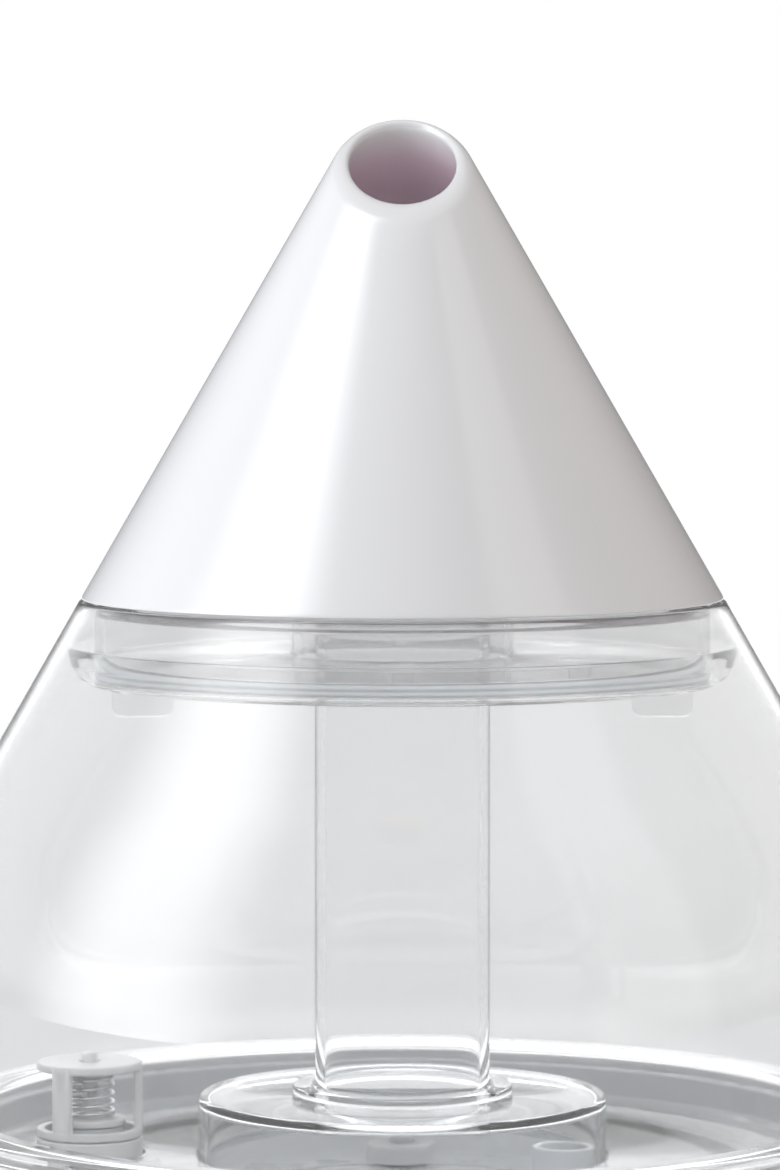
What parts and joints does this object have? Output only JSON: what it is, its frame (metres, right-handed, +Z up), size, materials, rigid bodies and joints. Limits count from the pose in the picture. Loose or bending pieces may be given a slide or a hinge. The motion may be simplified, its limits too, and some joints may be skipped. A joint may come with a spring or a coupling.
{
  "type": "cool mist humidifier",
  "caption": "Drop-shaped ultrasonic humidifier: white cone nozzle with a slanting mouth on a lift-off lid, clear lift-off tank with mist chimney and valve, white base with dial.",
  "frame": {"origin": "middle of the plane that the four feet stand on", "axes": "+Z up along the drop's axis, -Y towards the mist dial and the low side of the nozzle's mouth, +X to the right seen from the dial side"},
  "size_m": [0.23, 0.23, 0.3091],
  "materials": {
    "white_gloss": "injection-moulded white ABS, high gloss",
    "white_satin": "moulded white plastic, satin",
    "clear_lid": "translucent moulded plastic, polished",
    "clear_tank": "clear moulded plastic with a faint grey tint, polished",
    "silicone": "translucent grey silicone, matte",
    "basin_grey": "pale grey moulded plastic, semi-gloss",
    "foot_rubber": "grey rubber, matte",
    "steel": "bright zinc-plated or stainless steel",
    "disc_brass": "brass-backed ceramic disc, lightly polished",
    "fan_black": "glass-filled black plastic, satin",
    "filter_foam": "open-cell dark grey foam",
    "circuit_board": "green solder mask on glass-fibre board",
    "heat_sink_alloy": "extruded aluminium, plain",
    "dark_plastic": "black moulded plastic, satin",
    "lens_blue": "tinted clear plastic light guide",
    "lead_pvc": "dark PVC insulation"
  },
  "bodies": {
    "base": {"base_pan": "white_satin", "base_housing": "white_gloss", "water_basin": "basin_grey", "mist_well": "basin_grey", "fan_frame": "fan_black", "transducer_clamp": "steel", "driver_board": "circuit_board", "intake_grille": "white_satin", "air_duct": "white_satin", "air_pipe": "basin_grey", "dial_bezel": "white_satin", "transducer_gasket": "silicone", "transducer_lead": "lead_pvc", "control_lead": "lead_pvc", "fan_lead": "lead_pvc", "power_lead": "lead_pvc", "power_socket": "dark_plastic", "intake_filter": "filter_foam", "heat_sink": "heat_sink_alloy", "foot_1": "foot_rubber", "foot_2": "foot_rubber", "foot_3": "foot_rubber", "foot_4": "foot_rubber", "dial_control": "dark_plastic", "float_cap": "white_satin", "base_screw_1": "steel", "base_screw_2": "steel", "base_screw_3": "steel", "base_screw_4": "steel", "transducer_disc": "disc_brass", "clamp_screw_1": "steel", "clamp_screw_2": "steel", "fan_screw_1": "steel", "fan_screw_2": "steel", "board_screw_1": "steel", "board_screw_2": "steel", "indicator_lens": "lens_blue", "reed_switch": "dark_plastic", "control_board": "circuit_board"},
    "fan": {"fan_rotor": "fan_black"},
    "dial": {"mist_dial": "white_gloss", "dial_shaft": "steel"},
    "float": {"water_float": "white_satin"},
    "tank": {"tank_shell": "clear_tank", "tank_floor": "clear_tank", "air_pocket_cup": "clear_tank", "mist_chimney": "clear_tank", "neck_seat": "clear_tank", "valve_body": "white_satin", "valve_gasket": "silicone", "valve_cage": "white_satin", "valve_spring": "steel"},
    "valve": {"valve_plunger": "white_satin", "valve_washer": "silicone"},
    "lid": {"lid_plug": "clear_lid", "lid_seal": "silicone"},
    "nozzle": {"nozzle_cone": "white_gloss", "nozzle_retainer": "white_satin"}
  },
  "joints": [
    {"name": "tank_lift", "type": "slide", "parent": "base", "child": "tank", "axis": [0, 0, 1], "range_m": [0, 0.11]},
    {"name": "valve_travel", "type": "slide", "parent": "tank", "child": "valve", "axis": [0, 0, 1], "range_m": [-0.003, 0], "deforming": ["valve_spring"]},
    {"name": "lid_lift", "type": "slide", "parent": "tank", "child": "lid", "axis": [0, 0, 1], "range_m": [0, 0.06]},
    {"name": "nozzle_spin", "type": "hinge", "parent": "lid", "child": "nozzle", "pos_m": [0, 0, 0.197], "axis": [0, 0, 1], "continuous": true},
    {"name": "dial_turn", "type": "hinge", "parent": "base", "child": "dial", "pos_m": [0, -0.10179, 0.036], "axis": [0, -0.9067, -0.4217], "range_deg": [-140, 140]},
    {"name": "float_rise", "type": "slide", "parent": "base", "child": "float", "axis": [0, 0, 1], "range_m": [0, 0.0045]},
    {"name": "fan_spin", "type": "hinge", "parent": "base", "child": "fan", "pos_m": [0.05, 0, 0.018], "axis": [0, 0, 1], "continuous": true}
  ],
  "couplings": [
    {"joint": "valve_travel", "follows": "tank_lift", "ratio": -0.027273}
  ]
}
